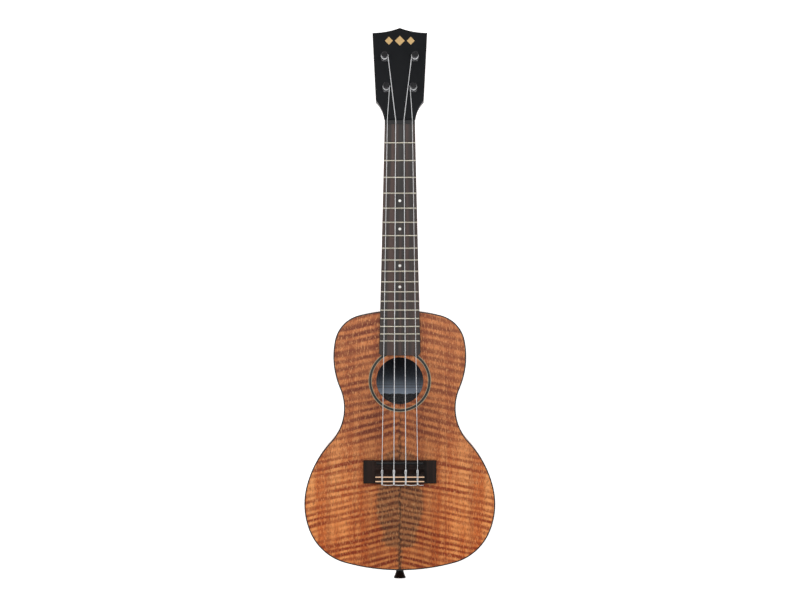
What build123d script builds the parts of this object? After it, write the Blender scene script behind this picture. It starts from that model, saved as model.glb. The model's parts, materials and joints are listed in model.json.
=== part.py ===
from build123d import *
import math
import os

# A concert ukulele lying on its flat back.  Millimetres, +X to the treble side,
# +Y towards the headstock, +Z out of the soundboard.  Everything is drawn in the
# tail frame (y = 0 where the body's centre line leaves the tail) and shifted on
# export, so that the overall length is centred on y = 0.

# ---- body ----
BODY_DEPTH = 66.0
PLATE = 2.2                # soundboard and back thickness
SIDE = 2.0                 # side thickness
BINDING = 1.4              # binding width, seen from the front
BINDING_HEIGHT = 5.0
BODY_EDGE = 0.6            # rounding of the body's outer edges
# half plan from tail to crown: (arc radius, degrees turned), negative = waist
BOUTS = (
    (231.5, 15.6), (61.2, 52.0), (81.3, 35.4), (115.5, 29.9),
    (-56.3, -66.3), (91.2, 35.0), (37.1, 64.2),
)
LINING_WIDTH = 4.5
LINING_HEIGHT = 6.0
NECK_BLOCK_WIDTH = 48.0
NECK_BLOCK_DEPTH = 21.0
TAIL_BLOCK_WIDTH = 56.0
TAIL_BLOCK_DEPTH = 12.0

# ---- soundhole and rosette ----
HOLE_Y = 215.4
HOLE_R = 26.7
ROSETTE = (31.9, 32.4, 34.9, 35.5)     # radii: inner line, band, outer line
ROSETTE_DEPTH = 1.2
LABEL = (84.0, 62.0, 0.25)

# ---- scale, fingerboard, neck ----
SCALE = 381.0              # 15 inch string length, before compensation
JOIN_FRET = 14             # fret that sits at the body's edge
FRETS = 18
BOARD_T = 4.5
BOARD_LENGTH = 262.8
BOARD_NUT_WIDTH = 34.5
BOARD_END_WIDTH = 46.9
BOARD_CLIP = 2.5           # clipped corners at the soundhole end
BOARD_EDGE = 0.4           # rounding of the board's upper edges
FRET_CROWN = 1.0           # crown radius
FRET_TANG = 0.5
DOT_FRETS = (5, 7, 10, 12)
DOT_R = 1.6
SIDE_DOT_R = 0.9
NUT_T = 5.0
NUT_TOP = 6.3              # nut top above the soundboard plane
NECK_DEPTH_NUT = 13.0
NECK_DEPTH_HEEL = 15.0
HEEL_CAP_T = 2.0
HEEL_CAP_BOTTOM = 0.5

# ---- headstock ----
PITCH = 13.0               # degrees the headstock leans back
HEAD_WOOD = 10.5
OVERLAY = 1.5
OVERLAY_EDGE = 0.4         # rounding of the overlay's front edge
FLARE_RADIUS = 45.9
FLARE_START = -6.0         # where the flare leaves the neck, along the head
FLARE_CORNER = 22.6
HEAD_TOP = 103.0
HEAD_TOP_HALF = 31.3
HEAD_PEAK = 109.0
INLAY_Q = 93.5
INLAY_T = 0.6

# ---- pegs: (name, side, half spacing, distance along the head) ----
PEGS = (
    ("g", -1, 15.4, 36.3),
    ("c", -1, 17.3, 73.0),
    ("e", 1, 17.3, 73.0),
    ("a", 1, 15.4, 36.3),
)
POST_R = 3.1
BORE_CLEARANCE = 0.06
POST_TOP = 14.1
POST_HOLE = 11.4           # height of the string hole above the head's wood
CAP_R = 3.8                # flared cap of the post
CAP_BASE = 12.3
SLEEVE_R = 4.0
FLANGE_R = 4.8
FLANGE_T = 1.6
WASHER_R = 6.5
WASHER_T = 1.5
KNOB_GAP = 0.3
SPINDLE_R = 4.6
SPINDLE_END = -34.0
TENON_R = 2.4
SCREW_R = 1.2

# ---- bridge ----
BRIDGE_LENGTH = 82.9
BRIDGE_BACK = 98.8
BRIDGE_FRONT = 125.2
TIE_HALF = 27.7
WING_HEIGHT = 3.6
DECK_HEIGHT = 6.8
CHANNEL_HEIGHT = 4.0
TIE_HEIGHT = 9.0
TIE_FRONT = 109.5
STRIP_YS = (101.4, 106.4)
STRIP_WIDTH = 1.2
STRIP_DEPTH = 0.8
SADDLE_Y = 122.0
SADDLE_T = 2.8
SADDLE_HALF = 26.5

# ---- strings ----
STRING_R = 0.35
NUT_SPACING = 9.47
BRIDGE_SPACING = 13.4
NUT_STRING_Z = 6.1         # string centre above the soundboard plane at the nut
SADDLE_STRING_Z = 9.94
KNOT_Z = 6.98              # where the string enters the tie block
CLEAR = 0.3                # between the strings and anything that turns

# ---- strap button ----
BUTTON_LENGTH = 11.6
BUTTON_SCREW_R = 1.6

# ---- worked out ----
TOP = BODY_DEPTH
CROWN_SWEEP = 180.0 - sum(sweep for _, sweep in BOUTS)


def fret_distance(n):
    """Distance of a fret from the nut."""
    return SCALE * (1.0 - 2.0 ** (-n / 12.0))


def bout_end(inset=0.0):
    """Where the chain of bout arcs stops, just short of the crown."""
    x, y, heading = 0.0, inset, 0.0
    for radius, sweep in BOUTS:
        r = radius - inset
        x += r * (math.sin(math.radians(heading + sweep)) - math.sin(math.radians(heading)))
        y -= r * (math.cos(math.radians(heading + sweep)) - math.cos(math.radians(heading)))
        heading += sweep
    return x, y


CROWN_RADIUS = bout_end()[0] / math.sin(math.radians(CROWN_SWEEP))
BODY_LENGTH = bout_end()[1] + CROWN_RADIUS * (1.0 - math.cos(math.radians(CROWN_SWEEP)))
NUT_Y = BODY_LENGTH + fret_distance(JOIN_FRET)
BOARD_END_Y = NUT_Y - BOARD_LENGTH
HEAD_ORIGIN_Y = NUT_Y + NUT_T
HEAD = Plane(
    origin=(0, HEAD_ORIGIN_Y, TOP),
    x_dir=(1, 0, 0),
    z_dir=(0, math.sin(math.radians(PITCH)), math.cos(math.radians(PITCH))),
)
TIP_Y = (
    HEAD_ORIGIN_Y
    + HEAD_PEAK * math.cos(math.radians(PITCH))
    + OVERLAY * math.sin(math.radians(PITCH))
)
SHIFT = Pos(0, (BUTTON_LENGTH - TIP_Y) / 2.0, 0)


def board_width(y):
    """Fingerboard width at a distance from the tail."""
    along = (NUT_Y - y) / BOARD_LENGTH
    return BOARD_NUT_WIDTH + (BOARD_END_WIDTH - BOARD_NUT_WIDTH) * along


def save(name, shape):
    """Write one node, centred along its length."""
    export_step(SHIFT * shape, "parts/" + name + ".step")


# ------------------------------------------------------------------ body plan
def half_outline(inset, side):
    """Arcs of half the body's plan, tail to crown, set in by a given amount."""
    x, y, heading = 0.0, inset, 0.0
    arcs = []
    for radius, sweep in BOUTS + ((CROWN_RADIUS, CROWN_SWEEP),):
        r = radius - inset
        cx = x - r * math.sin(math.radians(heading))
        cy = y + r * math.cos(math.radians(heading))
        points = []
        for part in (0.0, 0.5, 1.0):
            turn = math.radians(heading + part * sweep)
            points.append((side * (cx + r * math.sin(turn)), cy - r * math.cos(turn)))
        arcs.append(ThreePointArc(*points))
        heading += sweep
        x = cx + r * math.sin(math.radians(heading))
        y = cy - r * math.cos(math.radians(heading))
    return arcs


def plan(inset, z0, z1):
    """The body's plan, set in and extruded between two heights."""
    edges = half_outline(inset, 1) + half_outline(inset, -1)
    return extrude(Pos(0, 0, z0) * make_face(edges), z1 - z0)


def box(x0, x1, y0, y1, z0, z1):
    """A box from its limits."""
    size = Box(x1 - x0, y1 - y0, z1 - z0)
    return Pos((x0 + x1) / 2.0, (y0 + y1) / 2.0, (z0 + z1) / 2.0) * size


def half_space(side):
    """Everything on one side of the centre line."""
    return Pos(side * 200.0, 250.0, TOP / 2.0) * Box(400.0, 900.0, 400.0)


def bar(radius, start, end):
    """A round bar between two points."""
    a = Vector(*start)
    b = Vector(*end)
    place = Plane(origin=a, z_dir=b - a)
    return Solid.make_cylinder(radius, (b - a).length, place)


def disc(radius, z0, z1, x=0.0, y=0.0):
    """An upright cylinder between two heights."""
    return Pos(x, y, (z0 + z1) / 2.0) * Cylinder(radius, z1 - z0)


def dowel_bars(radius, y0, y1):
    """The two dowels that hold the neck to its block."""
    low = bar(radius, (0, y0, 20), (0, y1, 20))
    return low + bar(radius, (0, y0, 42), (0, y1, 42))


def strap_screw_hole():
    """The hole of the strap button's screw."""
    return bar(BUTTON_SCREW_R, (0, -BUTTON_LENGTH, TOP / 2), (0, 10.5, TOP / 2))


# ------------------------------------------------------------------ sound box
def hole_ring(inner, outer, z0, z1):
    """A ring round the soundhole."""
    return disc(outer, z0, z1, y=HOLE_Y) - disc(inner, z0 - 1, z1 + 1, y=HOLE_Y)


def make_plates():
    """Soundboard and back, each in two matched halves."""
    top = plan(BINDING, TOP - PLATE, TOP)
    top -= disc(HOLE_R, TOP - 10, TOP + 10, y=HOLE_Y)
    top -= hole_ring(ROSETTE[0], ROSETTE[3], TOP - ROSETTE_DEPTH, TOP + 1)
    back = plan(BINDING, 0, PLATE)
    for name, side in (("bass", -1), ("treble", 1)):
        save("soundboard_" + name + "_half", top & half_space(side))
        save("back_" + name + "_half", back & half_space(side))


def make_sides():
    """The two bent sides, rebated for the bindings."""
    wall = plan(0, BINDING_HEIGHT, TOP - BINDING_HEIGHT)
    wall += plan(BINDING, PLATE, TOP - PLATE)
    wall -= plan(SIDE, 0, TOP)
    wall -= dowel_bars(4.0, 270, 310)
    wall -= strap_screw_hole()
    save("side_bass", wall & half_space(-1))
    save("side_treble", wall & half_space(1))


def make_bindings():
    """Binding strips round the edges of the soundboard and the back."""
    for name, z0, rim in (("back_binding", 0.0, 0), ("top_binding", TOP - BINDING_HEIGHT, -1)):
        z1 = z0 + BINDING_HEIGHT
        slab = plan(0, z0, z1)
        slab = fillet(slab.edges().group_by(Axis.Z)[rim], BODY_EDGE)
        save(name, slab - plan(BINDING, z0 - 1, z1 + 1))


def make_blocks():
    """Neck block and tail block inside the sides."""
    inside = plan(SIDE, PLATE, TOP - PLATE)
    w, d = NECK_BLOCK_WIDTH / 2, NECK_BLOCK_DEPTH
    neck_block = inside & box(-w, w, BODY_LENGTH - SIDE - d, BODY_LENGTH, 0, TOP)
    save("neck_block", neck_block - dowel_bars(4.0, 280, 310))
    w, d = TAIL_BLOCK_WIDTH / 2, TAIL_BLOCK_DEPTH
    tail_block = inside & box(-w, w, 0, SIDE + d, 0, TOP)
    save("tail_block", tail_block - strap_screw_hole())


def make_linings():
    """Glue strips along the inner corners, stopping at the two blocks."""
    w = NECK_BLOCK_WIDTH / 2
    blocks = box(-w, w, BODY_LENGTH - 60, BODY_LENGTH, 0, TOP)
    w = TAIL_BLOCK_WIDTH / 2
    blocks += box(-w, w, -5, 60, 0, TOP)
    heights = (("back_linings", PLATE), ("top_linings", TOP - PLATE - LINING_HEIGHT))
    for name, z0 in heights:
        z1 = z0 + LINING_HEIGHT
        ring = plan(SIDE, z0, z1) - plan(SIDE + LINING_WIDTH, z0 - 1, z1 + 1)
        save(name, ring - blocks)


def brace(y, height, under):
    """A cross brace with scooped ends, under the top or on the back."""
    inside = plan(SIDE + LINING_WIDTH + 0.2, 0, TOP)
    z0, z1 = (TOP - PLATE - height, TOP - PLATE) if under else (PLATE, PLATE + height)
    bar_shape = inside & box(-110, 110, y - 3, y + 3, z0, z1)
    crest = bar_shape.edges().filter_by(Axis.X).group_by(Axis.Z)[0 if under else -1]
    return chamfer(crest, 1.6)


def fan_brace(x, lean):
    """One lengthwise brace under the lower bout, notched over the bridge plate."""
    z1 = TOP - PLATE
    strip = box(-2.5, 2.5, -66, 66, z1 - 6.0, z1)
    ends = strip.edges().filter_by(Axis.X).group_by(Axis.Z)[0]
    strip = chamfer(ends, 4.0, 14.0)
    strip = Pos(x, 108.0, 0) * Rot(0, 0, lean) * strip
    return strip - bridge_plate()


def bridge_plate():
    """Hardwood patch under the bridge."""
    return box(-50, 50, 95, 129, TOP - PLATE - 1.5, TOP - PLATE)


def make_braces():
    """All the bracing of the soundboard and the back."""
    save("upper_brace", brace(252.0, 8.0, True))
    save("lower_brace", brace(180.5, 8.0, True))
    save("bridge_plate", bridge_plate())
    fans = [fan_brace(x, lean) for x, lean in ((-30, 6), (0, 0), (30, -6))]
    save("fan_braces", Compound(children=fans))
    ys = (55.0, 150.0, 253.0)
    bars = [brace(y, 9.0, False) for y in ys]
    save("back_braces", Compound(children=bars))
    strip = box(-7, 7, SIDE + TAIL_BLOCK_DEPTH, 180, PLATE, PLATE + 1.6)
    for y in ys:
        strip -= box(-10, 10, y - 3, y + 3, 0, 20)
    save("back_centre_strip", strip)


def make_rosette():
    """Rosette: a dark band between two light lines, let in flush."""
    names = ("rosette_inner_line", "rosette_band", "rosette_outer_line")
    for name, inner, outer in zip(names, ROSETTE, ROSETTE[1:]):
        save(name, hole_ring(inner, outer, TOP - ROSETTE_DEPTH, TOP))


def make_label():
    """Paper label on the inside of the back."""
    width, length, thick = LABEL
    shape = box(-width / 2, width / 2, -length / 2, length / 2, PLATE, PLATE + thick)
    save("label", Pos(0, HOLE_Y, 0) * shape)


def make_strap_button():
    """Strap button and its screw at the tail."""
    section = Plane.XY * Polyline(
        (BUTTON_SCREW_R, 0), (4.6, 0), (4.6, -0.8), (4.2, -1.8), (4.5, -4.4),
        (5.6, -7.6), (6.8, -10.0), (6.9, -11.0), (6.4, -11.6), (3.4, -11.6),
        (BUTTON_SCREW_R, -9.8), close=True,
    )
    button = revolve(make_face(section.edges()), Axis.Y)
    save("strap_button", Pos(0, 0, TOP / 2) * button)
    screw = Polyline(
        (0, 10.5), (BUTTON_SCREW_R, 7.5), (BUTTON_SCREW_R, -9.8), (3.3, -11.5),
        (2.4, -12.1), (0, -12.4), close=True,
    )
    screw = revolve(make_face(screw.edges()), Axis.Y)
    screw -= box(-0.4, 0.4, -13, -11.4, -2.0, 2.0)
    screw -= box(-2.0, 2.0, -13, -11.4, -0.4, 0.4)
    screw &= box(-5, 5, -BUTTON_LENGTH, 12, -5, 5)
    save("strap_button_screw", Pos(0, 0, TOP / 2) * screw)


# ------------------------------------------------------------------ neck
def u_section(place, half, depth, rx, ry):
    """A U-shaped section hanging below a plane: flat top, rounded lower corners."""
    edges = [
        Line((-half, 0), (half, 0)),
        Line((half, 0), (half, ry - depth)),
        EllipticalCenterArc((half - rx, ry - depth), rx, ry, 270, arc_size=90),
        Line((half - rx, -depth), (rx - half, -depth)),
        EllipticalCenterArc((rx - half, ry - depth), rx, ry, 180, arc_size=90),
        Line((-half, ry - depth), (-half, 0)),
    ]
    return place * make_face(edges)


def neck_section(y, depth):
    """The neck's D section at a distance from the tail."""
    place = Plane(origin=(0, y, TOP), x_dir=(-1, 0, 0), z_dir=(0, 1, 0))
    half = board_width(min(y, NUT_Y)) / 2
    return u_section(place, half, depth, half - 0.8, depth - 1.2)


def heel_section(z, half, length):
    """A level slice of the heel: straight flanks and a rounded nose."""
    y0 = BODY_LENGTH - 8.0
    edges = [
        Line((-half, y0), (half, y0)),
        Line((half, y0), (half, BODY_LENGTH)),
        EllipticalCenterArc((0, BODY_LENGTH), half, length, 0, arc_size=180),
        Line((-half, BODY_LENGTH), (-half, y0)),
    ]
    return Pos(0, 0, z) * make_face(edges)


# (height, half width, length beyond the body) of the heel, from cap to shaft
HEEL = (
    (HEEL_CAP_BOTTOM + HEEL_CAP_T, 9.5, 13.5),
    (15.0, 9.9, 14.0),
    (28.0, 10.9, 16.4),
    (38.0, 12.3, 20.5),
    (46.0, 14.4, 27.0),
    (52.0, 16.4, 36.0),
    (58.0, 19.0, 50.0),
)


def make_neck():
    """Neck shaft and heel, the heel's cap and the dowels into the block."""
    heel_y = BODY_LENGTH - 6.0
    sections = [neck_section(heel_y, NECK_DEPTH_HEEL), neck_section(NUT_Y, NECK_DEPTH_NUT)]
    shaft = loft(sections)
    shaft += extrude(neck_section(NUT_Y, NECK_DEPTH_NUT), NUT_T)
    heel = loft([heel_section(*row) for row in HEEL])
    neck = shaft + heel - plan(0, -1, TOP + 1)
    save("neck", neck - dowel_bars(4.0, 280, 306))
    save("neck_dowels", dowel_bars(4.0, 281, 306))
    cap = extrude(heel_section(HEEL_CAP_BOTTOM, HEEL[0][1], HEEL[0][2]), HEEL_CAP_T)
    save("heel_cap", cap - plan(0, -1, TOP))


def make_fingerboard():
    """Fingerboard with its fret slots, frets, position dots and side dots."""
    nut_half = BOARD_NUT_WIDTH / 2
    end_half = BOARD_END_WIDTH / 2
    outline = Polyline(
        (-nut_half, NUT_Y), (nut_half, NUT_Y),
        (end_half, BOARD_END_Y + BOARD_CLIP), (end_half - BOARD_CLIP, BOARD_END_Y),
        (BOARD_CLIP - end_half, BOARD_END_Y), (-end_half, BOARD_END_Y + BOARD_CLIP),
        close=True,
    )
    blank = extrude(Pos(0, 0, TOP) * make_face(outline.edges()), BOARD_T)
    upper = blank.edges().group_by(Axis.Z)[-1].sort_by(Axis.Y)[:-1]
    blank = fillet(upper, BOARD_EDGE)
    surface = TOP + BOARD_T
    board = blank
    frets = []
    for n in range(1, FRETS + 1):
        y = NUT_Y - fret_distance(n)
        half = board_width(y) / 2 - BOARD_EDGE
        slot = box(-40, 40, y - FRET_TANG / 2, y + FRET_TANG / 2, surface - 1.8, surface + 1)
        board -= slot
        crown = Rot(0, 90, 0) * Cylinder(FRET_CROWN, 2 * half)
        crown = Pos(0, y, surface) * crown
        crown &= box(-40, 40, y - 2, y + 2, surface, surface + 2)
        half_tang = FRET_TANG / 2
        crown += box(-half, half, y - half_tang, y + half_tang, surface - 1.8, surface)
        frets.append(crown)
    save("frets", Compound(children=frets))
    dots = []
    side_dots = []
    for n in DOT_FRETS:
        y = NUT_Y - (fret_distance(n - 1) + fret_distance(n)) / 2
        dot = disc(DOT_R, surface - 0.8, surface, y=y)
        edge = -board_width(y) / 2
        peg = bar(SIDE_DOT_R, (edge - 1, y, TOP + 2.6), (edge + 1.5, y, TOP + 2.6)) & blank
        dots.append(dot)
        side_dots.append(peg)
        board = board - dot - peg
    save("position_dots", Compound(children=dots))
    save("side_dots", Compound(children=side_dots))
    save("fingerboard", board)


def string_xs(spacing):
    """The four string positions across the width."""
    return [(i - 1.5) * spacing for i in range(4)]


def make_nut():
    """Slotted nut."""
    half = BOARD_NUT_WIDTH / 2
    nut = box(-half, half, NUT_Y, NUT_Y + NUT_T, TOP, TOP + NUT_TOP)
    rear = nut.edges().filter_by(Axis.X).group_by(Axis.Z)[-1].sort_by(Axis.Y)[-1]
    nut = chamfer(rear, 0.9, 2.6, reference=nut.faces().sort_by(Axis.Z)[-1])
    floor = TOP + NUT_STRING_Z - STRING_R - 0.05
    for x in string_xs(NUT_SPACING):
        slot = box(x - 0.42, x + 0.42, NUT_Y - 1, NUT_Y + NUT_T + 1, floor, TOP + 10)
        nut -= slot
    save("nut", nut)


# ------------------------------------------------------------------ headstock
def flare(q):
    """Half width of the head's lower curve at a distance along it."""
    lift = FLARE_RADIUS - math.sqrt(FLARE_RADIUS ** 2 - (q - FLARE_START) ** 2)
    return BOARD_NUT_WIDTH / 2 + lift


def head_face():
    """Front outline of the headstock in its own plane."""
    edges = [Line((-flare(0), 0), (flare(0), 0))]
    for side in (1, -1):
        points = [(side * flare(q), q) for q in (0, FLARE_CORNER / 2, FLARE_CORNER)]
        edges.append(ThreePointArc(*points))
        edges.append(Line(points[-1], (side * HEAD_TOP_HALF, HEAD_TOP)))
        corner = (side * HEAD_TOP_HALF, HEAD_TOP)
        edges.append(TangentArc(corner, (0, HEAD_PEAK), tangent=(-side, 0)))
    face = make_face(edges)
    vertices = face.vertices()
    flares = [v for v in vertices if abs(v.Y - FLARE_CORNER) < 0.01]
    face = fillet(flares, 2.2)
    tops = [v for v in face.vertices() if abs(v.Y - HEAD_TOP) < 0.01]
    return fillet(tops, 0.6)


def peg_holes(radius, w0, w1):
    """Holes for the four pegs, in the head's own frame."""
    holes = []
    for _, side, x, q in PEGS:
        holes.append(disc(radius, w0, w1, x=side * x, y=q))
    return holes


def blend_section(q, half, corner):
    """Section that blends the neck's rounded back into the flat head."""
    place = Plane(origin=(0, q, 0), x_dir=(-1, 0, 0), z_dir=(0, 1, 0))
    return u_section(place, half, HEAD_WOOD, corner, min(corner, HEAD_WOOD - 0.8))


def make_headstock():
    """Head blank, its black overlay and the inlay."""
    face = head_face()
    plate = extrude(Pos(0, 0, -HEAD_WOOD) * face, HEAD_WOOD)
    blend = loft([
        blend_section(-4.0, flare(0), flare(0) - 0.8),
        blend_section(6.0, flare(6.0) + 0.2, 14.0),
        blend_section(14.0, flare(14.0) + 0.6, 9.0),
        blend_section(24.0, flare(22.0) + 4.0, 5.0),
    ])
    upper = box(-60, 60, 24.0, 130, -20, 1)
    head = HEAD * (plate & (blend + upper))
    root = extrude(neck_section(HEAD_ORIGIN_Y, NECK_DEPTH_NUT), 14.0)
    root -= HEAD * box(-60, 60, -30, 60, 0, 20)
    head = head + root - box(-60, 60, HEAD_ORIGIN_Y - 30, HEAD_ORIGIN_Y, 0, TOP + 20)
    for hole in peg_holes(POST_R + BORE_CLEARANCE, -HEAD_WOOD - 5, 5):
        head -= HEAD * hole
    for hole in peg_holes(SLEEVE_R, -5, 5):
        head -= HEAD * hole
    save("headstock", head)
    overlay = extrude(face, OVERLAY)
    overlay = fillet(overlay.edges().group_by(Axis.Z)[-1].sort_by(Axis.Y)[1:], OVERLAY_EDGE)
    for hole in peg_holes(SLEEVE_R, -5, 5):
        overlay -= hole
    lozenges = [inlay_lozenge(x, scale) for x, scale in ((-12.5, 0.8), (0, 1.0), (12.5, 0.8))]
    for lozenge in lozenges:
        overlay -= lozenge
    save("headstock_overlay", HEAD * overlay)
    save("headstock_inlay", HEAD * Compound(children=lozenges))


def inlay_lozenge(x, scale):
    """One four-pointed lozenge of the headstock inlay."""
    w, h = 5.6 * scale, 6.0 * scale
    shape = Polyline((w, 0), (0, h), (-w, 0), (0, -h), close=True)
    face = Pos(x, INLAY_Q, OVERLAY - INLAY_T) * make_face(shape.edges())
    return extrude(face, INLAY_T)


# ------------------------------------------------------------------ pegs
def make_peg_seats():
    """Front bushings and rear washers, pressed into the headstock."""
    bushings = []
    washers = []
    for _, side, x, q in PEGS:
        place = HEAD * Pos(side * x, q, 0)
        bushing = disc(SLEEVE_R, -5, OVERLAY) + disc(FLANGE_R, OVERLAY, OVERLAY + FLANGE_T)
        rim = bushing.edges().filter_by(GeomType.CIRCLE).group_by(Axis.Z)[-1]
        bushing = fillet(rim, 0.8) - disc(POST_R + BORE_CLEARANCE, -10, 10)
        washer = disc(WASHER_R, -HEAD_WOOD - WASHER_T, -HEAD_WOOD)
        rim = washer.edges().filter_by(GeomType.CIRCLE).group_by(Axis.Z)[0]
        washer = chamfer(rim, 0.5) - disc(POST_R + BORE_CLEARANCE, -20, 0)
        bushings.append(place * bushing)
        washers.append(place * washer)
    save("front_bushings", Compound(children=bushings))
    save("rear_washers", Compound(children=washers))


KNOB_TOP = -HEAD_WOOD - WASHER_T - KNOB_GAP
TENON_END = -29.0
TURNS = 4
TURN_PITCH = 0.68
FIRST_TURN = OVERLAY + FLANGE_T + 4.1


def peg_post():
    """String post with its flared cap, string hole and tenon into the knob."""
    outline = Polyline(
        (0, TENON_END), (TENON_R, TENON_END), (TENON_R, KNOB_TOP), (POST_R, KNOB_TOP),
        (POST_R, CAP_BASE), (CAP_R, CAP_BASE + 0.6), (CAP_R, POST_TOP), (0, POST_TOP),
        close=True,
    )
    post = revolve(Plane.XZ * make_face(outline.edges()), Axis.Z)
    post = fillet(post.edges().group_by(Axis.Z)[-1], 0.7)
    post -= bar(0.75, (-10, 0, POST_HOLE), (10, 0, POST_HOLE))
    return post - disc(SCREW_R, TENON_END - 1, TENON_END + 8)


def peg_knob():
    """Knob: a turned spindle with a rounded paddle across it."""
    outline = Polyline(
        (0, KNOB_TOP), (6.0, KNOB_TOP), (6.0, KNOB_TOP - 1.6), (SPINDLE_R, -18.0),
        (SPINDLE_R, SPINDLE_END + 0.8), (SPINDLE_R - 0.8, SPINDLE_END), (0, SPINDLE_END),
        close=True,
    )
    spindle = revolve(Plane.XZ * make_face(outline.edges()), Axis.Z)
    paddle = extrude(Plane.YZ * Ellipse(10.5, 7.6), 3.4, both=True)
    paddle = fillet(paddle.edges().filter_by(GeomType.ELLIPSE), 1.8)
    knob = spindle + Pos(0, 0, -25.2) * paddle
    knob -= disc(TENON_R, TENON_END, 0)
    knob -= disc(SCREW_R, SPINDLE_END - 1, TENON_END + 1)
    return knob - disc(3.0, SPINDLE_END - 1, SPINDLE_END + 1.8)


def peg_screw():
    """Tension screw up through the knob into the post."""
    screw = disc(SCREW_R, SPINDLE_END + 1.8, TENON_END + 7.5)
    screw += disc(2.8, SPINDLE_END + 0.2, SPINDLE_END + 1.8)
    return screw - box(-0.4, 0.4, -3, 3, SPINDLE_END - 1, SPINDLE_END + 1.1)


def string_winding():
    """Turns of string lying round the post."""
    coil = None
    for i in range(TURNS):
        turn = Pos(0, 0, FIRST_TURN + i * TURN_PITCH) * Torus(POST_R + 0.36, 0.36)
        coil = turn if coil is None else coil + turn
    return coil


def make_pegs():
    """The four friction pegs with their windings."""
    post = peg_post()
    knob = peg_knob()
    screw = peg_screw()
    winding = string_winding()
    for name, side, x, q in PEGS:
        place = HEAD * Pos(side * x, q, 0)
        save("peg_post_" + name, place * post)
        save("peg_knob_" + name, place * knob)
        save("peg_screw_" + name, place * screw)
        save("string_winding_" + name, place * winding)


# ------------------------------------------------------------------ bridge
def tie_slope(y):
    """Height of the tie block's front slope above the soundboard."""
    run = (115.0 - y) / (115.0 - TIE_FRONT)
    return CHANNEL_HEIGHT + (TIE_HEIGHT - CHANNEL_HEIGHT) * run


def make_bridge():
    """Bridge with its tie block, string holes, saddle and tie strips."""
    profile = Polyline(
        (BRIDGE_BACK, 0), (BRIDGE_FRONT, 0), (BRIDGE_FRONT, DECK_HEIGHT - 0.8),
        (BRIDGE_FRONT - 0.8, DECK_HEIGHT), (118.2, DECK_HEIGHT), (118.2, CHANNEL_HEIGHT),
        (115.0, CHANNEL_HEIGHT), (TIE_FRONT, TIE_HEIGHT),
        (BRIDGE_BACK + 0.8, TIE_HEIGHT), (BRIDGE_BACK, TIE_HEIGHT - 0.8), close=True,
    )
    place = Plane(origin=(-TIE_HALF, 0, TOP), x_dir=(0, 1, 0), z_dir=(1, 0, 0))
    bridge = extrude(place * make_face(profile.edges()), 2 * TIE_HALF)
    half = BRIDGE_LENGTH / 2
    wings = box(-half, half, BRIDGE_BACK, BRIDGE_FRONT, TOP, TOP + WING_HEIGHT)
    wings = fillet(wings.edges().group_by(Axis.Z)[-1], 1.0)
    bridge += wings
    t = SADDLE_T / 2
    saddle_slot = box(
        -SADDLE_HALF, SADDLE_HALF, SADDLE_Y - t, SADDLE_Y + t,
        TOP + 3.0, TOP + DECK_HEIGHT + 1,
    )
    bridge -= saddle_slot
    for x in string_xs(BRIDGE_SPACING):
        bridge -= bar(0.6, (x, 114.0, TOP + 7.1), (x, 97.0, TOP + 4.6))
    strips = []
    for y in STRIP_YS:
        strips.append(box(
            -TIE_HALF, TIE_HALF, y - STRIP_WIDTH / 2, y + STRIP_WIDTH / 2,
            TOP + TIE_HEIGHT - STRIP_DEPTH, TOP + TIE_HEIGHT,
        ))
        bridge -= strips[-1]
    save("bridge", bridge)
    save("tie_block_strips", Compound(children=strips))
    saddle_top = TOP + SADDLE_STRING_Z - STRING_R - 0.06
    saddle = box(
        -SADDLE_HALF, SADDLE_HALF, SADDLE_Y - t, SADDLE_Y + t, TOP + 3.0, saddle_top,
    )
    crest = saddle.edges().filter_by(Axis.X).group_by(Axis.Z)[-1]
    saddle = fillet(crest, 1.1)
    for x in string_xs(BRIDGE_SPACING):
        peak = (x, SADDLE_Y, TOP + SADDLE_STRING_Z)
        saddle -= bar(STRING_R + 0.02, peak, (x, 113.2, TOP + KNOT_Z))
        saddle -= Pos(*peak) * Sphere(STRING_R + 0.02)
    save("saddle", saddle)


# ------------------------------------------------------------------ strings
def tube(points):
    """A string along a chain of points, with round bends."""
    shape = None
    for a, b in zip(points, points[1:]):
        piece = bar(STRING_R, a, b)
        shape = piece if shape is None else shape + piece
    for point in points[1:-1]:
        shape += Pos(*point) * Sphere(STRING_R)
    return shape


def head_point(x, q, w):
    """A point given in the head's frame, as a world point."""
    p = HEAD.from_local_coords(Vector(x, q, w))
    return (p.X, p.Y, p.Z)


def bridge_knot(x, tail):
    """Route of one string behind the saddle: through the tie block and tied over it."""
    over = TOP + TIE_HEIGHT + STRING_R + 0.08
    return [
        (x, 113.2, TOP + KNOT_Z), (x, 98.0, TOP + 4.75), (x - 0.2, 97.5, TOP + 5.3),
        (x - 0.5, 97.5, TOP + 8.4), (x - 0.5, 98.3, over), (x - 0.5, 109.4, over),
        (x - 0.85, 112.0, TOP + 8.5), (x - 0.8, 114.2, TOP + 7.2), (x, 114.9, TOP + 6.35),
        (x + 0.8, 114.2, TOP + 7.2), (x + 0.85, 112.0, TOP + 8.5), (x + 0.5, 109.4, over),
        (x + 0.5, 98.3, over), (x + 0.7, 97.5, TOP + 8.6), (x + 1.6, 97.3, TOP + 8.2),
        (x + tail, 97.3, TOP + 8.1),
    ]


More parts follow.
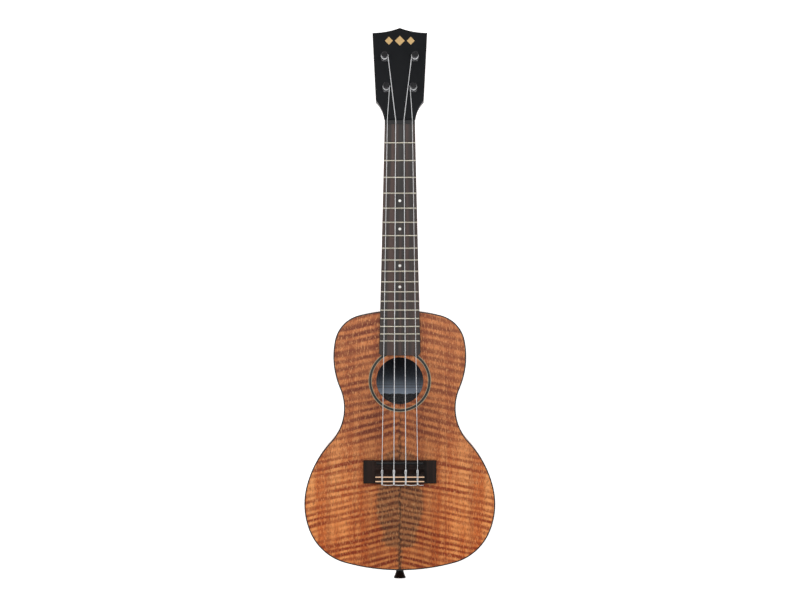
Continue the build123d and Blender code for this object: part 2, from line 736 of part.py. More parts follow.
def make_strings():
    """The four strings, from the knot at the bridge to the turn round the post."""
    nut_xs = string_xs(NUT_SPACING)
    bridge_xs = string_xs(BRIDGE_SPACING)
    loop_r = POST_R + CLEAR + STRING_R
    loop_w = FIRST_TURN + (TURNS - 1) * TURN_PITCH + 0.36 + CLEAR + STRING_R
    for i, (name, side, px, pq) in enumerate(PEGS):
        post_x = side * px
        nut_x = nut_xs[i]
        nut_q = -NUT_STRING_Z * math.sin(math.radians(PITCH))
        dx, dq = post_x - nut_x, pq - nut_q
        reach = math.hypot(dx, dq)
        heading = math.atan2(dq, dx) + side * math.asin(loop_r / reach)
        run = math.sqrt(reach ** 2 - loop_r ** 2)
        touch = head_point(
            nut_x + run * math.cos(heading), nut_q + run * math.sin(heading), loop_w,
        )
        tail = 12.2 if i < 3 else 7.0
        knot = bridge_knot(bridge_xs[i], tail)
        route = [
            touch,
            (nut_x, NUT_Y + NUT_T - 0.4, TOP + NUT_STRING_Z + 0.02),
            (nut_x, NUT_Y + 0.3, TOP + NUT_STRING_Z),
            (bridge_xs[i], SADDLE_Y, TOP + SADDLE_STRING_Z),
        ] + knot
        start = heading + side * math.pi / 2
        turn = []
        for part in (0.0, 0.5, 1.0):
            a = start - side * part * math.radians(290)
            turn.append(head_point(
                post_x + loop_r * math.cos(a), pq + loop_r * math.sin(a), loop_w,
            ))
        arc = ThreePointArc(*turn)
        ring = sweep(Plane(arc @ 0, z_dir=arc % 0) * Circle(STRING_R), path=arc)
        save("string_" + name, tube(route) + ring + Pos(*touch) * Sphere(STRING_R))


os.makedirs("parts", exist_ok=True)
make_plates()
make_sides()
make_bindings()
make_blocks()
make_linings()
make_braces()
make_rosette()
make_label()
make_strap_button()
make_neck()
make_fingerboard()
make_nut()
make_headstock()
make_peg_seats()
make_pegs()
make_bridge()
make_strings()
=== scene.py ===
import json
import math

import bpy
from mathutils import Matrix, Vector


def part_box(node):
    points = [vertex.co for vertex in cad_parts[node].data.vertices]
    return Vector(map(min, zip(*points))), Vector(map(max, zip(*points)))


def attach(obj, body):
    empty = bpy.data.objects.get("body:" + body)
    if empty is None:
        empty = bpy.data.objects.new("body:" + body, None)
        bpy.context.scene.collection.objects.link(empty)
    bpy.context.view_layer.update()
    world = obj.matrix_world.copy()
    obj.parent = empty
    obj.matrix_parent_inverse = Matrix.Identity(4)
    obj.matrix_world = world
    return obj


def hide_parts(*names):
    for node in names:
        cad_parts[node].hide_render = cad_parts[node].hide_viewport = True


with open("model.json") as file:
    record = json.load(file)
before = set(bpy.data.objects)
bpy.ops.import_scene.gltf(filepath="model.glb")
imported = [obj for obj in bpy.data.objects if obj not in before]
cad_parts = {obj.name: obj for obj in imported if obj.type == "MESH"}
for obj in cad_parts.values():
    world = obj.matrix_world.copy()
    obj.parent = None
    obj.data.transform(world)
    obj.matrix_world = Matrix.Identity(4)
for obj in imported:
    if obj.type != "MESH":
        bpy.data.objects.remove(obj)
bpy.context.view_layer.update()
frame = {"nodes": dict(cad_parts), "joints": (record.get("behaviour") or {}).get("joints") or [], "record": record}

MM = 0.001

# ---- places taken from the frame ----
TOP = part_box("soundboard_bass_half")[1].z
TAIL_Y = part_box("side_bass")[0].y
NUT_FRONT, NUT_REAR = (corner.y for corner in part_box("nut"))
SADDLE_Y = sum(corner.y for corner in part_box("saddle")) / 2
PITCH = math.radians(13.0)
HEAD_U = Vector((1, 0, 0))
HEAD_Q = Vector((0, math.cos(PITCH), -math.sin(PITCH)))
HEAD_W = Vector((0, math.sin(PITCH), math.cos(PITCH)))
STRINGS = ("g", "c", "e", "a")
POSTS = {j["child"][-1]: Vector(j["pos_m"]) for j in frame["joints"]}


def srgb(r, g, b):
    """A display colour from 0 to 255 as scene-linear values."""
    def one(value):
        value /= 255.0
        return value / 12.92 if value <= 0.04045 else ((value + 0.055) / 1.055) ** 2.4
    return one(r), one(g), one(b)


# ---- soundboard tones: lower bout, and the cooler upper bout ----
LOWER_LIGHT, LOWER_MIDDLE, LOWER_DARK = srgb(236, 160, 98), srgb(198, 108, 54), srgb(138, 54, 20)
UPPER_LIGHT, UPPER_MIDDLE, UPPER_DARK = srgb(206, 130, 80), srgb(172, 98, 58), srgb(116, 54, 34)
PATCH_HEIGHT = 0.150        # the dark heartwood ends this far above the tail
PATCH_HALF_WIDTH = 0.0270
LONG_BANDS = ((0.0515, 0.0022, 0.34), (0.0810, 0.0040, 0.42))   # distance, width, depth

# ---- strings ----
STRING_R = {"g": 0.34 * MM, "c": 0.43 * MM, "e": 0.40 * MM, "a": 0.32 * MM}
NUT_SPACING = 9.47 * MM
NUT_STRING_Z = 6.1 * MM     # string centre over the nut, above the soundboard
BRIDGE_SPACING = 13.4 * MM
KNOT_TAIL = 12.2 * MM       # loose end behind the bridge, up to the next string
LAST_KNOT_TAIL = 7.0 * MM
STRING_TOP = 10.28 * MM     # top of every string over the saddle, above the soundboard
POST_R = 3.1 * MM
LOOP_R = 3.75 * MM          # the fixed turn round a post
LOOP_W = 10.25 * MM
LOOP_SWEEP = math.radians(290.0)
LOOP_STEPS = 24
COIL_FIRST = 7.2 * MM       # lowest of the turns that move with a peg
COIL_TURNS = {"g": 3, "c": 2, "e": 2, "a": 3}
COIL_STEPS = 20
STUB_W = 11.4 * MM          # the string's end, through the hole of the post

# ---- studio ----
FLOOR_HALF = 8.0
FLOOR_DROP = 0.0005
CAMERA_DISTANCE = 3.6
CAMERA_PLACE = (0.0002, 0.00375)
VIEW_WIDTH = 0.9088
SENSOR_WIDTH = 36.0
WORLD_STRENGTH = 0.24


# ------------------------------------------------------------------ node graphs
class Graph:
    """A material's node tree, with short ways to add nodes."""

    def __init__(self, name):
        self.material = bpy.data.materials.new(name)
        self.material.use_nodes = True
        self.tree = self.material.node_tree
        self.shader = self.tree.nodes["Principled BSDF"]
        self.object = self.add("ShaderNodeTexCoord").outputs["Object"]

    def add(self, kind, **settings):
        node = self.tree.nodes.new(kind)
        for key, value in settings.items():
            setattr(node, key, value)
        return node

    def put(self, socket, value):
        """Link a socket, or set it when given a plain number."""
        if isinstance(value, bpy.types.NodeSocket):
            self.tree.links.new(value, socket)
        else:
            socket.default_value = value

    def math(self, operation, a, b=0.0, c=0.0, clamp=False):
        node = self.add("ShaderNodeMath", operation=operation, use_clamp=clamp)
        for socket, value in zip(node.inputs, (a, b, c)):
            self.put(socket, value)
        return node.outputs[0]

    def xyz(self):
        node = self.add("ShaderNodeSeparateXYZ")
        self.put(node.inputs[0], self.object)
        return node.outputs[0], node.outputs[1], node.outputs[2]

    def vector(self, x, y, z):
        node = self.add("ShaderNodeCombineXYZ")
        for socket, value in zip(node.inputs, (x, y, z)):
            self.put(socket, value)
        return node.outputs[0]

    def scaled(self, vector, factors):
        node = self.add("ShaderNodeVectorMath", operation="MULTIPLY")
        self.put(node.inputs[0], vector)
        node.inputs[1].default_value = factors
        return node.outputs[0]

    def noise(self, vector, scale=1.0, detail=3.0, roughness=0.5, distortion=0.0):
        node = self.add("ShaderNodeTexNoise")
        self.put(node.inputs["Vector"], vector)
        node.inputs["Scale"].default_value = scale
        node.inputs["Detail"].default_value = detail
        node.inputs["Roughness"].default_value = roughness
        node.inputs["Distortion"].default_value = distortion
        return node.outputs["Fac"]

    def ramp(self, value, stops, interpolation="LINEAR"):
        """Colour ramp; a stop is (position, grey level or colour)."""
        node = self.add("ShaderNodeValToRGB")
        node.color_ramp.interpolation = interpolation
        elements = node.color_ramp.elements
        while len(elements) < len(stops):
            elements.new(1.0)
        for element, (position, colour) in zip(elements, stops):
            element.position = position
            if isinstance(colour, (int, float)):
                colour = (colour, colour, colour)
            element.color = (*colour, 1.0)
        self.put(node.inputs[0], value)
        return node.outputs[0]

    def span(self, value, low, high, to_low=0.0, to_high=1.0):
        """Smooth step of a value between two limits."""
        node = self.add("ShaderNodeMapRange", interpolation_type="SMOOTHSTEP")
        for socket, number in zip(node.inputs, (value, low, high, to_low, to_high)):
            self.put(socket, number)
        return node.outputs[0]

    def mix(self, factor, a, b, blend="MIX"):
        node = self.add("ShaderNodeMix", data_type="RGBA", blend_type=blend)
        self.put(node.inputs[0], factor)
        for socket, value in ((node.inputs[6], a), (node.inputs[7], b)):
            if isinstance(value, tuple):
                value = (*value, 1.0)
            self.put(socket, value)
        return node.outputs[2]

    def colour(self, value):
        if isinstance(value, tuple):
            value = (*value, 1.0)
        self.put(self.shader.inputs["Base Color"], value)

    def rough(self, value):
        self.put(self.shader.inputs["Roughness"], value)

    def bump(self, height, strength, distance):
        node = self.add("ShaderNodeBump")
        node.inputs["Strength"].default_value = strength
        node.inputs["Distance"].default_value = distance
        self.put(node.inputs["Height"], height)
        self.put(self.shader.inputs["Normal"], node.outputs[0])

    def set(self, **values):
        """Plain numbers on the shader's own sockets."""
        for key, value in values.items():
            self.shader.inputs[key.replace("_", " ")].default_value = value


# ------------------------------------------------------------------ woods
def sheared_height(g, x_abs, y):
    """Height above the tail, measured along bands that climb towards the seam."""
    arch = g.math("SQRT", g.math("MULTIPLY_ADD", x_abs, x_abs, 0.007 ** 2))
    rise = g.math("MULTIPLY", arch, 0.225)
    sway = g.noise(g.vector(g.math("MULTIPLY", x_abs, 15.0), g.math("MULTIPLY", y, 9.0), 7.0),
                   detail=1.0, roughness=0.4)
    rise = g.math("MULTIPLY_ADD", sway, 0.009, rise)
    return g.math("ADD", g.math("SUBTRACT", y, TAIL_Y), rise)


def flame_wave(g, x, x_abs, height):
    """Bands across the grain, from 0 light to 1 dark, wider towards the neck."""
    square = g.math("MULTIPLY", height, height)
    turns = g.math("MULTIPLY_ADD", square, -101.0, g.math("MULTIPLY", height, 162.0))
    uneven = g.noise(g.vector(g.math("MULTIPLY", x_abs, 7.0), g.math("MULTIPLY", height, 60.0), 0.0),
                     detail=1.0)
    turns = g.math("MULTIPLY_ADD", uneven, 0.9, turns)
    turns = g.math("ADD", turns, g.span(x, -0.0002, 0.0002, 0.0, 0.3))
    even = g.math("SINE", g.math("MULTIPLY", turns, 2 * math.pi))
    broken = g.noise(g.vector(g.math("MULTIPLY", x, 22.0), g.math("MULTIPLY", height, 230.0), 5.0),
                     detail=3.0, roughness=0.55)
    broken = g.math("MULTIPLY_ADD", broken, 2.2, -1.1)
    return g.math("MULTIPLY_ADD", g.math("ADD", g.math("MULTIPLY", even, 0.75), broken), 0.5, 0.5)


def seam_patch(g, x_abs, height, wave, wobble):
    """Mask of the dark heartwood along the seam of the lower bout."""
    half = g.ramp(g.math("DIVIDE", height, PATCH_HEIGHT), (
        (0.00, 0.06), (0.21, 0.09), (0.235, 0.55), (0.29, 0.74), (0.33, 0.64), (0.38, 0.76),
        (0.45, 0.92), (0.53, 1.0), (0.66, 0.98), (0.74, 0.74), (0.94, 0.62), (1.0, 0.0),
    ))
    half = g.math("MULTIPLY", half, PATCH_HALF_WIDTH)
    half = g.math("MULTIPLY_ADD", g.math("SUBTRACT", wave, 0.5), 0.0020, half)
    half = g.math("MULTIPLY_ADD", g.math("SUBTRACT", wobble, 0.5), 0.0050, half)
    return g.span(g.math("SUBTRACT", half, x_abs), -0.0034, 0.0034)


def broad_tone(g, x_abs, y):
    """Slow change of tone: darker towards the seam, more orange at the tail."""
    inner = g.math("MULTIPLY", g.span(x_abs, 0.026, 0.062, 1.0, 0.0), g.span(y, -0.045, -0.075))
    across = g.mix(inner, (1.08, 1.06, 1.00), (0.76, 0.69, 0.64))
    along = g.mix(g.span(y, -0.260, -0.190), (0.99, 0.90, 0.81), (1.0, 1.0, 1.0))
    return g.mix(1.0, across, along, "MULTIPLY")


def flame_mask(g, x, x_abs, height, wave, upper):
    """Strength of the dark bands: patchy, and weaker on the treble side of the upper bout."""
    patches = g.noise(g.vector(g.math("MULTIPLY", x_abs, 17.0), g.math("MULTIPLY", height, 34.0), 8.0),
                      detail=1.5)
    strength = g.span(patches, 0.30, 0.62, 0.30, 1.0)
    weak_side = g.math("MULTIPLY", g.span(x, 0.0, 0.01), g.math("MULTIPLY", upper, 0.15))
    strength = g.math("MULTIPLY", strength, g.math("SUBTRACT", 1.0, weak_side))
    return g.math("MULTIPLY", g.span(wave, 0.10, 0.80), strength, clamp=True)


def banded_wood(g, x_abs, y, mirrored, flame, upper):
    """Light ground, dark bands across it, and two dark stripes along each half."""
    light = g.mix(upper, LOWER_LIGHT, UPPER_LIGHT)
    middle = g.mix(upper, LOWER_MIDDLE, UPPER_MIDDLE)
    dark = g.mix(upper, LOWER_DARK, UPPER_DARK)
    stripes = g.noise(g.scaled(mirrored, (85.0, 4.0, 1.0)), detail=3.0, roughness=0.55)
    ground = g.mix(g.span(stripes, 0.34, 0.66), middle, light)
    wood = g.mix(flame, ground, dark)
    for place, width, depth in LONG_BANDS:
        away = g.math("ABSOLUTE", g.math("SUBTRACT", x_abs, place))
        faded = g.span(y, -0.13, -0.19, 0.0, depth)
        stripe = g.math("MULTIPLY", g.span(away, width * 0.3, width, 1.0, 0.0), faded)
        wood = g.mix(stripe, wood, dark)
    return wood


def heart_wood(g, wave, pores, glints):
    """Brown heartwood with the same bands, darker pores and pale glints."""
    heart = g.mix(g.span(wave, 0.15, 0.90), srgb(150, 96, 58), srgb(80, 40, 20))
    heart = g.mix(g.span(pores, 0.50, 0.62, 0.0, 0.66), heart, srgb(40, 22, 10))
    return g.mix(g.span(glints, 0.51, 0.64, 0.0, 0.46), heart, srgb(206, 156, 108))


def seam_mask(g, x_abs, y):
    """Broken dark line along the seam, faint above the bridge."""
    spots = g.noise(g.scaled(g.object, (300.0, 200.0, 1.0)), detail=2.0)
    seam = g.math("MULTIPLY", g.span(x_abs, 0.0002, 0.0030, 0.85, 0.0), g.span(spots, 0.40, 0.58))
    return g.math("MULTIPLY", seam, g.span(y, -0.10, -0.17, 0.25, 1.0))


def soundboard_wood():
    """Book-matched flamed wood under a satin lacquer."""
    g = Graph("flamed_top")
    x, y, z = g.xyz()
    x_abs = g.math("ABSOLUTE", x)
    mirrored = g.vector(x_abs, y, z)
    height = sheared_height(g, x_abs, y)
    wave = flame_wave(g, x, x_abs, height)
    upper = g.span(y, -0.215, -0.125)
    flame = flame_mask(g, x, x_abs, height, wave, upper)
    wood = banded_wood(g, x_abs, y, mirrored, flame, upper)

    pores = g.noise(g.scaled(g.object, (820.0, 170.0, 1.0)), detail=3.0, roughness=0.8)
    wood = g.mix(g.span(pores, 0.51, 0.62, 0.0, 0.60), wood, srgb(98, 42, 22))
    glints = g.noise(g.scaled(g.object, (800.0, 190.0, 2.0)), detail=3.0, roughness=0.8)
    wood = g.mix(g.span(glints, 0.52, 0.64, 0.0, 0.48), wood, srgb(242, 174, 118))
    wood = g.mix(1.0, wood, broad_tone(g, x_abs, y), "MULTIPLY")

    wobble = g.noise(g.scaled(g.object, (14.0, 150.0, 1.0)), detail=2.0)
    patch = seam_patch(g, x_abs, height, wave, wobble)
    patch = g.math("MULTIPLY", patch, g.span(y, -0.20, -0.15, 0.85, 0.50))
    wood = g.mix(patch, wood, heart_wood(g, wave, pores, glints))
    wood = g.mix(seam_mask(g, x_abs, y), wood, srgb(62, 36, 20))
    g.colour(wood)
    g.rough(g.span(wave, 0.1, 0.9, 0.38, 0.46))
    g.bump(g.math("MULTIPLY", pores, -1.0), 0.08, 0.0002)
    g.set(Coat_Weight=0.08, Coat_Roughness=0.28, Specular_IOR_Level=0.25)
    return g.material


def body_wood():
    """Plainer wood of the sides and the back, with the grain along the length."""
    g = Graph("side_back_wood")
    x, y, z = g.xyz()
    x_abs = g.math("ABSOLUTE", x)
    mirrored = g.vector(x_abs, y, z)
    curl = g.noise(g.scaled(mirrored, (34.0, 95.0, 5.0)), detail=3.0, roughness=0.55)
    streak = g.noise(g.scaled(mirrored, (80.0, 5.0, 210.0)), detail=4.0, roughness=0.6)
    wood = g.mix(g.span(streak, 0.30, 0.70), srgb(146, 80, 46), srgb(197, 124, 74))
    wood = g.mix(g.span(curl, 0.46, 0.68, 0.0, 0.6), wood, srgb(118, 58, 32))
    pores = g.noise(g.scaled(mirrored, (1200.0, 70.0, 1200.0)), detail=2.0, roughness=0.7)
    wood = g.mix(g.span(pores, 0.58, 0.74, 0.0, 0.5), wood, srgb(84, 40, 24))
    g.colour(wood)
    g.rough(g.span(streak, 0.2, 0.8, 0.34, 0.44))
    g.bump(pores, 0.10, 0.0002)
    g.set(Coat_Weight=0.20, Coat_Roughness=0.18)
    return g.material


def straight_wood(name, low, high, pore, grain=(420.0, 7.0, 420.0), gloss=(0.42, 0.55),
                  pore_amount=0.6, bump=0.15, coat=0.0, specular=0.5):
    """Straight-grained wood with streaks and open pores along the length."""
    g = Graph(name)
    streak = g.noise(g.scaled(g.object, grain), detail=4.0, roughness=0.6)
    broad = g.noise(g.scaled(g.object, (55.0, 3.0, 55.0)), detail=2.0)
    blend = g.math("ADD", g.math("MULTIPLY", streak, 0.6), g.math("MULTIPLY", broad, 0.4))
    wood = g.mix(g.span(blend, 0.36, 0.64), low, high)
    pores = g.noise(g.scaled(g.object, (1700.0, 75.0, 1700.0)), detail=2.0, roughness=0.7)
    wood = g.mix(g.span(pores, 0.56, 0.70, 0.0, pore_amount), wood, pore)
    g.colour(wood)
    g.rough(g.span(streak, 0.25, 0.75, *gloss))
    g.bump(g.math("MULTIPLY", pores, -1.0), bump, 0.0002)
    g.set(Coat_Weight=coat, Coat_Roughness=0.2, Specular_IOR_Level=specular)
    return g.material


def head_wood():
    """Neck wood whose upright edges are lacquered black, like the overlay above them."""
    g = Graph("head_wood")
    streak = g.noise(g.scaled(g.object, (420.0, 7.0, 420.0)), detail=4.0, roughness=0.6)
    wood = g.mix(g.span(streak, 0.36, 0.64), srgb(112, 62, 38), srgb(158, 94, 58))
    pores = g.noise(g.scaled(g.object, (1700.0, 75.0, 1700.0)), detail=2.0, roughness=0.7)
    wood = g.mix(g.span(pores, 0.56, 0.70, 0.0, 0.6), wood, srgb(70, 36, 24))
    facing = g.add("ShaderNodeVectorMath", operation="DOT_PRODUCT")
    g.put(facing.inputs[0], g.add("ShaderNodeTexCoord").outputs["Normal"])
    facing.inputs[1].default_value = -HEAD_W
    lacquer = g.span(facing.outputs["Value"], 0.35, 0.75, 1.0, 0.0)
    g.colour(g.mix(lacquer, wood, (0.0075, 0.0080, 0.0088)))
    g.rough(g.span(streak, 0.25, 0.75, 0.38, 0.50))
    g.bump(g.math("MULTIPLY", pores, -1.0), 0.08, 0.0002)
    g.set(Specular_IOR_Level=0.35)
    return g.material


def fingerboard_wood():
    """Dark board with broad lengthwise bands of grey and brown."""
    g = Graph("fingerboard_wood")
    bands = g.noise(g.scaled(g.object, (150.0, 2.5, 60.0)), detail=2.0, roughness=0.5)
    wood = g.mix(g.span(bands, 0.38, 0.62), srgb(56, 53, 52), srgb(84, 67, 62))
    streak = g.noise(g.scaled(g.object, (900.0, 14.0, 900.0)), detail=4.0, roughness=0.65)
    wood = g.mix(g.span(streak, 0.50, 0.72, 0.0, 0.6), wood, srgb(38, 33, 31))
    pores = g.noise(g.scaled(g.object, (2400.0, 120.0, 2400.0)), detail=2.0, roughness=0.7)
    wood = g.mix(g.span(pores, 0.60, 0.72, 0.0, 0.5), wood, srgb(28, 23, 22))
    g.colour(wood)
    g.rough(g.span(streak, 0.3, 0.7, 0.42, 0.60))
    g.bump(g.math("MULTIPLY", pores, -1.0), 0.25, 0.0002)
    g.set(Specular_IOR_Level=0.25)
    return g.material


# ------------------------------------------------------------------ other stuffs
def smooth_finish(name, colour, rough, mottling=0.12, scale=260.0, bump=0.03, **values):
    """Plastic, lacquer or metal with slight uneven gloss and tone."""
    g = Graph(name)
    tone = g.noise(g.object, scale=scale, detail=4.0, roughness=0.6)
    smears = g.noise(g.object, scale=scale / 9.0, detail=3.0, roughness=0.6)
    darker = tuple(channel * (1.0 - mottling) for channel in colour)
    brighter = tuple(min(1.0, channel * (1.0 + mottling)) for channel in colour)
    g.colour(g.mix(tone, darker, brighter))
    g.rough(g.span(smears, 0.3, 0.7, rough * 0.85, rough * 1.2))
    g.bump(tone, bump, 0.0001)
    g.set(**values)
    return g.material


def fret_metal():
    """Nickel silver, drawn along the wire and polished on the crown."""
    g = Graph("fret_metal")
    drawn = g.noise(g.scaled(g.object, (60.0, 5000.0, 5000.0)), detail=3.0)
    g.colour(g.mix(drawn, srgb(176, 168, 150), srgb(226, 220, 205)))
    g.rough(g.span(drawn, 0.3, 0.7, 0.22, 0.36))
    g.bump(drawn, 0.05, 0.0001)
    g.set(Metallic=1.0)
    return g.material


def label_paper():
    """Blue-grey label with painted shade darkening it towards the neck end, two fine rules and a plain dark foot,
    no lettering.
    """
    g = Graph("label_paper")
    low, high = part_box("label")
    x, y, _ = g.xyz()
    along = g.math("DIVIDE", g.math("SUBTRACT", y, low.y), high.y - low.y)
    fibre = g.noise(g.scaled(g.object, (500.0, 500.0, 1.0)), detail=4.0, roughness=0.65)
    # painted shade: the blue-grey paper fades from pale at the tail end to dark at the neck end, where the
    # soundboard's edge and the fingerboard end shade it
    paper_and_shade = g.mix(g.span(along, 0.20, 0.62), srgb(198, 216, 238), srgb(78, 90, 106))
    for place in (0.35, 0.40):
        away = g.math("ABSOLUTE", g.math("SUBTRACT", along, place))
        paper_and_shade = g.mix(g.span(away, 0.002, 0.006, 0.7, 0.0), paper_and_shade, srgb(60, 58, 66))
    ridge = g.math("MULTIPLY_ADD", g.noise(g.vector(g.math("MULTIPLY", x, 70.0), 0.0, 0.0),
                                           detail=2.0), 0.14, 0.165)
    foot = g.span(g.math("SUBTRACT", ridge, along), -0.004, 0.004)
    paper_and_shade = g.mix(foot, paper_and_shade, srgb(27, 27, 31))
    paper_and_shade = g.mix(g.span(fibre, 0.3, 0.7, 0.0, 0.15), paper_and_shade, srgb(200, 205, 210))
    g.colour(paper_and_shade)
    g.rough(0.75)
    g.bump(fibre, 0.08, 0.0001)
    return g.material


def pearl():
    """Pale shell with a soft clouded lustre."""
    g = Graph("pearl")
    cloud = g.noise(g.object, scale=700.0, detail=4.0, distortion=2.0)
    g.colour(g.ramp(cloud, ((0.3, srgb(205, 200, 190)), (0.5, srgb(245, 242, 236)),
                            (0.7, srgb(214, 222, 222)))))
    g.rough(0.2)
    g.set(Coat_Weight=0.5, Coat_Roughness=0.08)
    return g.material


def nylon():
    """Clear white string."""
    g = Graph("nylon")
    tone = g.noise(g.scaled(g.object, (900.0, 60.0, 900.0)), detail=3.0)
    g.colour(g.mix(tone, srgb(228, 230, 234), srgb(250, 250, 250)))
    g.rough(g.span(tone, 0.3, 0.7, 0.22, 0.34))
    g.set(Transmission_Weight=0.12, IOR=1.5)
    return g.material


def floor_white():
    """Plain pale floor."""
    g = Graph("floor_white")
    tone = g.noise(g.object, scale=6.0, detail=2.0)
    g.colour(g.mix(tone, (0.90, 0.90, 0.90), (0.93, 0.93, 0.93)))
    g.rough(0.9)
    g.set(Emission_Color=(1.0, 1.0, 1.0, 1.0), Emission_Strength=0.70)
    return g.material


FINISHES = {
    "top_wood": soundboard_wood,
    "body_wood": body_wood,
    "binding_black": lambda: smooth_finish("binding_black", (0.012, 0.011, 0.011), 0.32),
    "inner_wood": lambda: straight_wood(
        "inner_wood", srgb(178, 142, 98), srgb(212, 178, 132), srgb(140, 104, 66)),
    "plate_wood": lambda: straight_wood(
        "plate_wood", srgb(120, 78, 48), srgb(158, 108, 70), srgb(80, 50, 32)),
    "rosette_cream": lambda: smooth_finish("rosette_cream", srgb(160, 150, 124), 0.4),
    "rosette_black": lambda: smooth_finish("rosette_black", (0.016, 0.016, 0.015), 0.38),
    "label_paper": label_paper,
    "button_black": lambda: smooth_finish(
        "button_black", (0.003, 0.003, 0.003), 0.35, Specular_IOR_Level=0.15),
    "screw_black": lambda: smooth_finish("screw_black", (0.05, 0.05, 0.055), 0.35, Metallic=1.0),
    "neck_wood": lambda: straight_wood(
        "neck_wood", srgb(112, 62, 38), srgb(158, 94, 58), srgb(70, 36, 24), coat=0.15),
    "head_wood": head_wood,
    "cap_wood": lambda: straight_wood(
        "cap_wood", srgb(32, 25, 23), srgb(50, 39, 35), srgb(18, 14, 13)),
    "overlay_black": lambda: smooth_finish(
        "overlay_black", (0.0056, 0.0066, 0.0084), 0.42, Specular_IOR_Level=0.18),
    "inlay_gold": lambda: smooth_finish(
        "inlay_gold", srgb(224, 188, 130), 0.42, mottling=0.2, scale=700.0, Metallic=0.5),
    "board_wood": fingerboard_wood,
    "bridge_wood": lambda: straight_wood(
        "bridge_wood", srgb(17, 12, 10), srgb(43, 28, 23), srgb(10, 8, 7),
        gloss=(0.45, 0.6), specular=0.17),
    "fret_metal": fret_metal,
    "nut_black": lambda: smooth_finish(
        "nut_black", (0.011, 0.011, 0.012), 0.4, Specular_IOR_Level=0.25),
    "pearl": pearl,
    "tie_cream": lambda: smooth_finish("tie_cream", srgb(240, 198, 162), 0.4),
    "string_nylon": nylon,
    "black_chrome": lambda: smooth_finish(
        "black_chrome", (0.10, 0.10, 0.105), 0.16, scale=900.0, Metallic=1.0),
    "knob_black": lambda: smooth_finish("knob_black", (0.008, 0.008, 0.008), 0.25),
}
NODE_FINISH = {"headstock": "head_wood"}
MATERIALS = {}


def finish(name):
    """The material of a record slot, made once."""
    if name not in MATERIALS:
        MATERIALS[name] = FINISHES[name]()
    return MATERIALS[name]


def dress_cad():
    """Give every CAD node its slot's finish."""
    for part in frame["record"]["subparts"]:
        node = frame["nodes"][part["node"]]
        node.data.materials.clear()
        slot = part["material_slot"]
        node.data.materials.append(finish(NODE_FINISH.get(part["node"], slot)))


# ------------------------------------------------------------------ strings
def string_curve(name, points, body, radius):
    """A round string on one smooth line."""
    data = bpy.data.curves.new(name, "CURVE")
    data.dimensions = "3D"
    data.bevel_depth = radius
    data.bevel_resolution = 3
    data.use_fill_caps = True
    data.resolution_u = 4
    spline = data.splines.new("NURBS")
    spline.points.add(len(points) - 1)
    for target, point in zip(spline.points, points):
        target.co = (*point, 1.0)
    spline.order_u = 3
    spline.use_endpoint_u = True
    data.materials.append(finish("string_nylon"))
    piece = bpy.data.objects.new(name, data)
    bpy.context.scene.collection.objects.link(piece)
    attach(piece, body)
    return piece


def bent(points, reach):
    """Add a point on each side of every corner, so that only the corner is rounded."""
    route = [points[0]]
    for before, corner, after in zip(points, points[1:], points[2:]):
        for other in (before, after):
            step = other - corner
            length = min(reach, 0.4 * step.length)
            near = corner + step.normalized() * length
            if other is before:
                route += [near, corner]
            else:
                route.append(near)
    return route + [points[-1]]


def head_place(post, u, q, w):
    """A point near a post, in the head's own directions."""
    return post + HEAD_U * u + HEAD_Q * q + HEAD_W * w


def knot(x, tail, radius):
    """String route behind the saddle: through the tie block, over it, and tied."""
    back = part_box("bridge")[0].y
    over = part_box("bridge")[1].z + radius + 0.08 * MM
    shape = (
        (0.0, 14.4, 6.98), (0.0, -0.8, 4.75), (-0.2, -1.3, 5.3), (-0.5, -1.3, 8.4),
        (-0.5, -0.5, None), (-0.5, 10.6, None), (-0.85, 13.2, 8.5), (-0.8, 15.4, 7.2),
        (0.0, 16.1, 6.35), (0.8, 15.4, 7.2), (0.85, 13.2, 8.5), (0.5, 10.6, None),
        (0.5, -0.5, None), (0.7, -1.3, 8.6), (1.6, -1.5, 8.2),
    )
    points = []
    for dx, dy, dz in shape:
        z = over if dz is None else TOP + dz * MM
        points.append(Vector((x + dx * MM, back + dy * MM, z)))
    middle = Vector((x + tail * 0.55, back - 1.75 * MM, TOP + 7.9 * MM))
    end = Vector((x + tail, back - 1.5 * MM, TOP + 8.1 * MM))
    return points + [middle, end]


def make_string(i, name):
    """One string from the turn round its post to the knot."""
    post = POSTS[name]
    side = 1.0 if post.x > 0 else -1.0
    nut_x = (i - 1.5) * NUT_SPACING
    bridge_x = (i - 1.5) * BRIDGE_SPACING
    nut_rear = Vector((nut_x, NUT_REAR - 0.4 * MM, TOP + NUT_STRING_Z + 0.02 * MM))
    nut_front = Vector((nut_x, NUT_FRONT + 0.3 * MM, TOP + NUT_STRING_Z))
    crest = Vector((bridge_x, SADDLE_Y, TOP + STRING_TOP - STRING_R[name]))
    to_post = post - nut_rear
    du, dq = to_post.dot(HEAD_U), to_post.dot(HEAD_Q)
    reach = math.hypot(du, dq)
    heading = math.atan2(dq, du) + side * math.asin(LOOP_R / reach)
    start = heading + side * math.pi / 2
    turn = []
    for step in range(LOOP_STEPS + 1):
        angle = start - side * LOOP_SWEEP * step / LOOP_STEPS
        turn.append(head_place(post, LOOP_R * math.cos(angle), LOOP_R * math.sin(angle), LOOP_W))
    straight = [turn[0], nut_rear, nut_front, crest]
    tail = LAST_KNOT_TAIL if name == STRINGS[-1] else KNOT_TAIL
    radius = STRING_R[name]
    route = list(reversed(turn[1:])) + bent(straight + knot(bridge_x, tail, radius), 0.8 * MM)
    piece = string_curve("string_line_" + name, route, "instrument", radius)
    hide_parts("string_" + name)


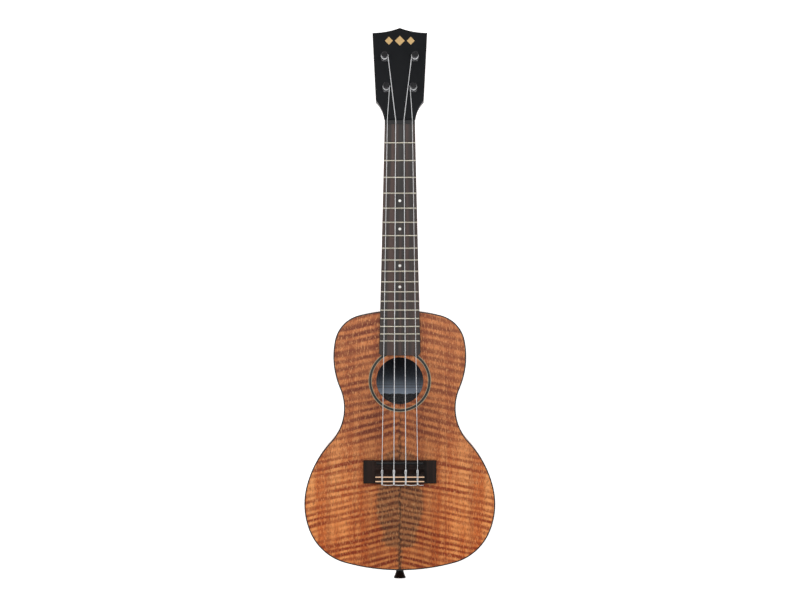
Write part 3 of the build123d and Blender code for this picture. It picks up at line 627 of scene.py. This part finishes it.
def make_winding(name):
    """Turns of string round a post, running down from under the fixed turn."""
    post = POSTS[name]
    side = 1.0 if post.x > 0 else -1.0
    radius = STRING_R[name]
    reach = POST_R + radius + 0.02 * MM
    pitch = 2 * radius + 0.02 * MM
    points = []
    for step in range(COIL_TURNS[name] * COIL_STEPS + 1):
        angle = -side * 2 * math.pi * step / COIL_STEPS
        w = COIL_FIRST + pitch * step / COIL_STEPS
        points.append(head_place(post, reach * math.cos(angle), reach * math.sin(angle), w))
    piece = string_curve("string_coil_" + name, points, "peg_" + name, radius)
    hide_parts("string_winding_" + name)
    stub = [head_place(post, side * u * MM, 0.0, STUB_W) for u in (-4.6, -3.8, 0.0, 3.9)]
    stub[0] += HEAD_W * 0.5 * MM
    string_curve("string_stub_" + name, stub, "peg_" + name, radius)


# ------------------------------------------------------------------ studio
def make_floor():
    """Pale floor under the instrument's back."""
    half = FLOOR_HALF
    data = bpy.data.meshes.new("floor")
    corners = [(-half, -half, 0), (half, -half, 0), (half, half, 0), (-half, half, 0)]
    data.from_pydata(corners, [], [(0, 1, 2, 3)])
    data.materials.append(floor_white())
    floor = bpy.data.objects.new("floor", data)
    floor.location.z = -FLOOR_DROP
    bpy.context.scene.collection.objects.link(floor)


def area_light(name, place, size, energy, target=(0.0, 0.0, 0.03)):
    """A soft rectangular light that faces the instrument."""
    data = bpy.data.lights.new(name, "AREA")
    data.shape = "RECTANGLE"
    data.size, data.size_y = size
    data.energy = energy
    light = bpy.data.objects.new(name, data)
    light.location = place
    aim = Vector(target) - Vector(place)
    light.rotation_euler = aim.to_track_quat("-Z", "Y").to_euler()
    bpy.context.scene.collection.objects.link(light)


def make_studio():
    """World light, three soft lights and the camera straight above."""
    scene = bpy.context.scene
    world = bpy.data.worlds.new("studio")
    world.use_nodes = True
    world.node_tree.nodes["Background"].inputs[0].default_value = (1.0, 1.0, 1.0, 1.0)
    world.node_tree.nodes["Background"].inputs[1].default_value = WORLD_STRENGTH
    scene.world = world
    area_light("key", (0.0, 0.32, 1.05), (1.4, 0.5), 6.8, target=(0.0, -0.09, 0.03))
    area_light("left", (-1.1, -0.75, 1.25), (1.0, 1.0), 8.4)
    area_light("right", (1.2, -0.65, 1.25), (1.0, 1.0), 6.4)
    scene.view_settings.view_transform = "Standard"

    data = bpy.data.cameras.new("camera")
    data.sensor_width = SENSOR_WIDTH
    data.lens = SENSOR_WIDTH * CAMERA_DISTANCE / VIEW_WIDTH
    data.clip_end = 20.0
    camera = bpy.data.objects.new("camera", data)
    camera.location = (*CAMERA_PLACE, TOP + CAMERA_DISTANCE)
    scene.collection.objects.link(camera)
    scene.camera = camera


dress_cad()
for index, letter in enumerate(STRINGS):
    make_string(index, letter)
    make_winding(letter)
make_floor()
make_studio()
